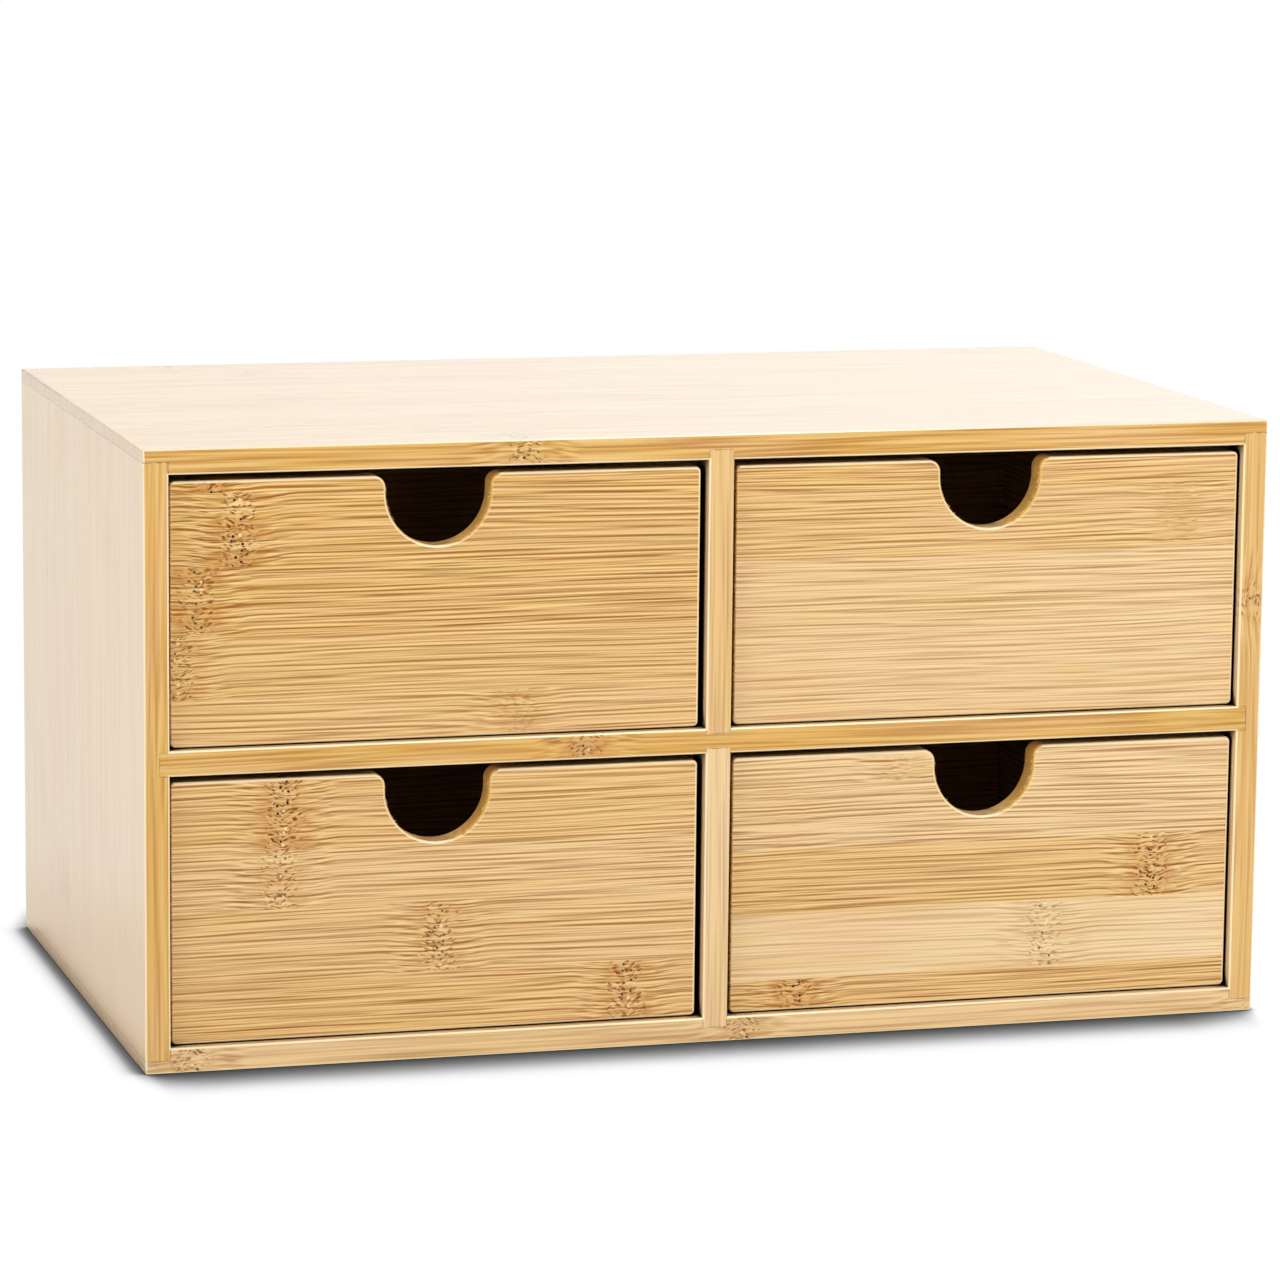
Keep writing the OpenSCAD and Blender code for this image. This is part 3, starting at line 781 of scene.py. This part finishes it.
def standing_fibres(material):
    """The geometry nodes that stand torn fibres up along both walls of a notch.

    A fibre runs level, so both walls have one for each step of height, and it
    stands out along the board, from the wall into the notch.
    """
    tree = bpy.data.node_groups.new("standing_fibres", "GeometryNodeTree")
    for name, kind in {
        "Centre": "Vector", "Radius": "Float", "Foot": "Float", "Spacing": "Float",
        "Length": "Float", "Thickness": "Float", "Count": "Int", "Seed": "Int",
    }.items():
        tree.interface.new_socket(name, in_out="INPUT", socket_type=f"NodeSocket{kind}")
    tree.interface.new_socket("Geometry", in_out="OUTPUT", socket_type="NodeSocketGeometry")
    given = add(tree, "NodeGroupInput").outputs

    foot = add(tree, "ShaderNodeCombineXYZ", {2: given["Foot"]})
    step = add(tree, "ShaderNodeCombineXYZ", {2: given["Spacing"]})
    line = add(tree, "GeometryNodeMeshLine", {
        "Count": given["Count"], "Start Location": foot, "Offset": step,
    })
    # The wall is round below the centre of the notch, and straight above it
    height = add(tree, "GeometryNodeInputPosition")
    height = add(tree, "ShaderNodeSeparateXYZ", {0: height}).outputs[2]
    below = add(tree, "ShaderNodeMath", {0: height, 1: 0.0}, operation="MINIMUM")
    below = add(tree, "ShaderNodeMath", {0: below, 1: below}, operation="MULTIPLY")
    reach = add(tree, "ShaderNodeMath", {0: given["Radius"], 1: given["Radius"]}, operation="MULTIPLY")
    reach = add(tree, "ShaderNodeMath", {0: reach, 1: below}, operation="SUBTRACT")
    reach = add(tree, "ShaderNodeMath", {0: reach}, operation="SQRT")
    # Its root lies just under the face of the wall
    root = add(tree, "ShaderNodeMath", {0: given["Thickness"], 1: 0.3, 2: reach}, operation="MULTIPLY_ADD")
    thick = add(tree, "ShaderNodeMath", {0: given["Thickness"], 1: 0.5}, operation="MULTIPLY")
    tip = add(tree, "ShaderNodeMath", {0: given["Thickness"], 1: 0.08}, operation="MULTIPLY")
    fibre = add(tree, "GeometryNodeMeshCone", {
        "Vertices": 5, "Radius Top": tip, "Radius Bottom": thick, "Depth": given["Length"],
    })
    walls = add(tree, "GeometryNodeJoinGeometry")
    for side in (-1, 1):
        # Each fibre strays a little from its step, leans off level, and has a size of its own
        seed = add(tree, "ShaderNodeMath", {0: given["Seed"], 1: side * 100})
        level = -math.pi / 2 * side
        away = add(tree, "ShaderNodeMath", {0: root, 1: side}, operation="MULTIPLY")
        stray = add(tree, "FunctionNodeRandomValue", {
            0: (0, -0.12 * MM, -0.25 * MM), 1: (0, 0.3 * MM, 0.25 * MM), "Seed": seed,
        }, data_type="FLOAT_VECTOR")
        rooted = add(tree, "ShaderNodeCombineXYZ", {0: away, 2: height})
        rooted = add(tree, "ShaderNodeVectorMath", {0: rooted, 1: stray})
        rooted = add(tree, "ShaderNodeVectorMath", {0: rooted, 1: given["Centre"]})
        placed = add(tree, "GeometryNodeSetPosition", {"Geometry": line, "Position": rooted})
        tilt = add(tree, "FunctionNodeRandomValue", {
            0: (-0.5, level - 0.4, -0.5), 1: (0.5, level + 0.4, 0.5), "Seed": seed,
        }, data_type="FLOAT_VECTOR")
        size = add(tree, "FunctionNodeRandomValue", {
            0: (0.6, 0.6, 0.25), 1: (1.2, 1.2, 1), "Seed": seed,
        }, data_type="FLOAT_VECTOR")
        stood = add(tree, "GeometryNodeInstanceOnPoints", {
            "Points": placed, "Instance": fibre, "Rotation": tilt, "Scale": size,
        })
        tree.links.new(stood.outputs[0], walls.inputs[0])
    real = add(tree, "GeometryNodeRealizeInstances", {0: walls})
    finished = add(tree, "GeometryNodeSetMaterial", {"Geometry": real, "Material": material})
    add(tree, "NodeGroupOutput", {"Geometry": finished})
    return tree


class DESK_DRAWERS_OT_fray_notches(bpy.types.Operator):
    """Stands torn fibres up along the walls of the finger notches"""

    bl_idname = "desk_drawers.fray_notches"
    bl_label = "Fray the notches"

    def execute(self, context):
        notch = context.scene.finger_notch
        tree = standing_fibres(bamboo_fibres(context.scene.bamboo))
        # The wall frays from where it stands up steeply to where its round shoulder begins
        foot = -0.8 * notch.radius
        above = notch.depth - notch.radius - 3.2 * MM
        behind_face = 0.95 * MM
        for seed, drawer in enumerate(DRAWERS):
            low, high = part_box(f"{drawer}_front")
            given = {
                "Centre": ((low.x + high.x) / 2, low.y + behind_face, high.z - notch.depth + notch.radius),
                "Radius": notch.radius,
                "Foot": foot,
                "Spacing": notch.spacing,
                "Length": notch.length,
                "Thickness": notch.thickness,
                "Count": int((above - foot) / notch.spacing),
                "Seed": seed,
            }
            name = f"{drawer}_notch_fibres"
            piece = bpy.data.objects.new(name, bpy.data.meshes.new(name))
            context.collection.objects.link(piece)
            modifier = piece.modifiers.new("standing_fibres", "NODES")
            modifier.node_group = tree
            for item in tree.interface.items_tree:
                if item.name in given:
                    modifier[item.identifier] = given[item.name]
            evaluated = piece.evaluated_get(context.evaluated_depsgraph_get())
            mesh = bpy.data.meshes.new_from_object(evaluated)
            piece.modifiers.clear()
            piece.data = mesh
            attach(piece, drawer)
        return {"FINISHED"}


# ---- Stage ----


def looked_at(tree):
    """1 where something is seen, mirrored or looked at through glass, and 0 where it only gives light."""
    path = add(tree, "ShaderNodeLightPath").outputs
    looked = path["Is Camera Ray"]
    for way in ("Is Glossy Ray", "Is Transmission Ray"):
        looked = add(tree, "ShaderNodeMath", {0: looked, 1: path[way]}, operation="MAXIMUM")
    return looked


def white_paper(colour):
    """Seamless white paper: an even white to the eye, with a painted contact shadow, darker where the chest
    shuts out the light.
    """
    material, tree = blank_material("white_paper")
    # The painted shadow is set out over this much floor on each side, and reaches this far at most, in mm
    half_width, furthest = 200, 100
    place = add(tree, "ShaderNodeTexCoord").outputs["Object"]
    place = add(tree, "ShaderNodeSeparateXYZ", {0: place})
    across = add(tree, "ShaderNodeMapRange", {0: place, 1: -half_width * MM, 2: half_width * MM})
    # The painted shadow reaches furthest in front of the chest and less beside it:
    # each stop is a place across the chest, how far the shadow reaches there, in mm,
    # and how strong it is
    stops = []
    for x, reach, strength in (
        (-169, 9, 0.52), (-162, 30, 1), (140, 30, 1), (160, 24, 0.75), (166, 2, 0.5),
    ):
        stops.append(((x + half_width) / (2 * half_width), (reach / furthest, strength, 0, 1)))
    given = add(tree, "ShaderNodeValToRGB", {0: across}, stops)
    given = add(tree, "ShaderNodeSeparateColor", {0: given}).outputs
    reach = add(tree, "ShaderNodeMath", {0: given[0], 1: furthest * MM}, operation="MULTIPLY")
    near = add(tree, "ShaderNodeAmbientOcclusion", {"Distance": reach}, samples=16)
    openness = add(tree, "ShaderNodeMapRange", {0: given[1], 3: 1, 4: near.outputs["AO"]})
    # Each stop is how open the floor is there and how bright it is
    stops = []
    for open_share, level in (
        (0.45, 0.05), (0.6, 0.09), (0.69, 0.175), (0.78, 0.35),
        (0.865, 0.6), (0.92, 0.83), (0.965, 0.94), (1, 1),
    ):
        stops.append((open_share, (level, level, level, 1)))
    # Painted shadow: the floor's brightness to the eye follows how open it is, not the lamps
    shade = add(tree, "ShaderNodeValToRGB", {0: openness}, stops)
    seen = add(tree, "ShaderNodeEmission", {"Color": shade})
    paper = add(tree, "ShaderNodeBsdfDiffuse", {"Color": colour})
    mix = add(tree, "ShaderNodeMixShader", {0: looked_at(tree), 1: paper, 2: seen})
    add(tree, "ShaderNodeOutputMaterial", {"Surface": mix})
    return material


def studio_world():
    """A plain studio: white where it is seen or mirrored, and dimmer as a light."""
    world = bpy.data.worlds.new("studio")
    world.use_nodes = True
    tree = world.node_tree
    tree.nodes.clear()
    strength = add(tree, "ShaderNodeMapRange", {0: looked_at(tree), 3: 0.22, 4: 1.0})
    background = add(tree, "ShaderNodeBackground", {"Color": (1, 1, 1, 1), "Strength": strength})
    add(tree, "ShaderNodeOutputWorld", {"Surface": background})
    return world


MIDDLE = Vector((0, 0, 0.09))  # of the chest, where the lamps are aimed


def area_light(name, azimuth, elevation, distance, size, power, mirrored=True):
    """A round softbox aimed at the chest from azimuth degrees to the right of its front.

    With mirrored off it is polarised, so that it gives light but no glare on the lacquer.
    """
    light = bpy.data.lights.new(name, "AREA")
    light.shape = "DISK"
    light.size = size
    light.energy = power
    lamp = bpy.data.objects.new(name, light)
    az, el = math.radians(azimuth), math.radians(elevation)
    away = Vector((math.sin(az) * math.cos(el), -math.cos(az) * math.cos(el), math.sin(el)))
    lamp.location = MIDDLE + away * distance
    lamp.rotation_euler = (-away).to_track_quat("-Z", "Y").to_euler()
    lamp.visible_glossy = mirrored
    bpy.context.scene.collection.objects.link(lamp)


def stand_camera(scene, place, azimuth, downwards, roll, lens):
    """Stands the camera at a place, turned to the right by azimuth, and looking downwards by its angle."""
    data = bpy.data.cameras.new("camera")
    data.sensor_width = 36
    data.lens = lens
    az, el, roll = math.radians(azimuth), math.radians(downwards), math.radians(roll)
    ahead = Vector((math.sin(az) * math.cos(el), math.cos(az) * math.cos(el), -math.sin(el)))
    right = ahead.cross(UPWARDS).normalized()
    up = right.cross(ahead)
    right, up = right * math.cos(roll) + up * math.sin(roll), up * math.cos(roll) - right * math.sin(roll)
    camera = bpy.data.objects.new("camera", data)
    turn = Matrix((right, up, -ahead)).transposed().to_4x4()
    camera.matrix_world = Matrix.Translation(place) @ turn
    scene.collection.objects.link(camera)
    scene.camera = camera


class DESK_DRAWERS_OT_set_stage(bpy.types.Operator):
    """Lays the floor, and sets up the lights, the world and the camera"""

    bl_idname = "desk_drawers.set_stage"
    bl_label = "Set the stage"

    def execute(self, context):
        scene = context.scene
        bpy.ops.mesh.primitive_plane_add(size=scene.drawer_stage.floor_size, location=(0, 0, 0))
        floor = context.object
        floor.name = "floor"
        floor.data.materials.append(white_paper(scene.drawer_stage.floor_colour))
        area_light("key", azimuth=20, elevation=35, distance=2.0, size=1.0, power=23.5)
        area_light("side", azimuth=-70, elevation=18, distance=2.0, size=1.2, power=14.3, mirrored=False)
        area_light("back", azimuth=150, elevation=58, distance=2.0, size=1.2, power=19.0)
        scene.world = studio_world()
        scene.view_settings.view_transform = "Standard"
        stand_camera(
            scene, place=(-0.442, -1.5345, 0.367), azimuth=16.24, downwards=9.47, roll=0.6, lens=151.8,
        )
        return {"FINISHED"}


class DESK_DRAWERS_PT_panel(bpy.types.Panel):
    """Lists the pieces and the stage, with the sizes and colours that they are made to"""

    bl_label = "Bamboo desk drawers"
    bl_space_type = "VIEW_3D"
    bl_region_type = "UI"
    bl_category = "Drawers"

    def draw(self, context):
        for operator in OPERATORS:
            self.layout.operator(operator.bl_idname)
        for name, group in GROUPS.items():
            box = self.layout.box()
            for key in group.__annotations__:
                box.prop(getattr(context.scene, name), key)


OPERATORS = (
    DESK_DRAWERS_OT_dress_case,
    DESK_DRAWERS_OT_dress_drawers,
    DESK_DRAWERS_OT_fray_notches,
    DESK_DRAWERS_OT_set_stage,
)
GROUPS = {"bamboo": BambooSettings, "finger_notch": NotchSettings, "drawer_stage": StageSettings}


def register():
    for cls in (*GROUPS.values(), *OPERATORS, DESK_DRAWERS_PT_panel):
        bpy.utils.register_class(cls)
    for name, group in GROUPS.items():
        setattr(bpy.types.Scene, name, bpy.props.PointerProperty(type=group))


def unregister():
    for name in GROUPS:
        delattr(bpy.types.Scene, name)
    for cls in (*GROUPS.values(), *OPERATORS, DESK_DRAWERS_PT_panel):
        bpy.utils.unregister_class(cls)


def main():
    register()
    bpy.ops.desk_drawers.dress_case()
    bpy.ops.desk_drawers.dress_drawers()
    bpy.ops.desk_drawers.fray_notches()
    bpy.ops.desk_drawers.set_stage()


if __name__ == "__main__":
    main()
